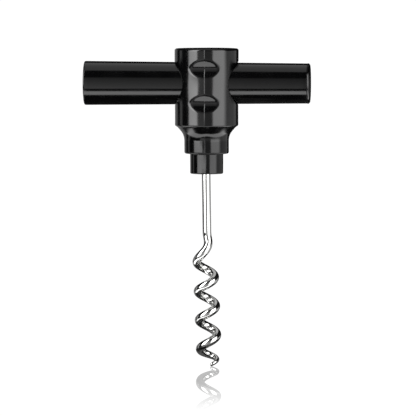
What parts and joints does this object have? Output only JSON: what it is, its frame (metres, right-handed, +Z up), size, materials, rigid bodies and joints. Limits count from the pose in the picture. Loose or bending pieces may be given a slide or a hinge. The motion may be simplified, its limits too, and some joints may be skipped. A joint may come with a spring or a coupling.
{
  "type": "pocket corkscrew",
  "caption": "T-handled pocket corkscrew: a black plastic head on a chromed worm, with the tapered protective sheath pushed through the head's cross bore as the handle.",
  "frame": {"origin": "centre of the head's flat top face", "axes": "+Z up, out of the head's top face, so the worm points along -Z; +X along the sheath towards its capped narrow end; -Y is the front"},
  "size_m": [0.0755, 0.0214, 0.1061],
  "materials": {
    "head_plastic": "glossy injection-moulded black plastic with a fine parting line and faint sink waves",
    "worm_steel": "bright chrome plate over drawn steel wire, with fine lengthwise drawing marks",
    "sheath_plastic": "glossy black plastic tube with fine handling scratches",
    "cap_plastic": "glossy black plastic plug with a rounded edge"
  },
  "bodies": {
    "head": {"head": "head_plastic", "worm": "worm_steel"},
    "sheath": {"sheath_tube": "sheath_plastic", "sheath_cap": "cap_plastic"}
  },
  "joints": [
    {"name": "sheath_slide", "type": "slide", "parent": "head", "child": "sheath", "axis": [-1, 0, 0], "range_m": [0, 0.06]}
  ]
}
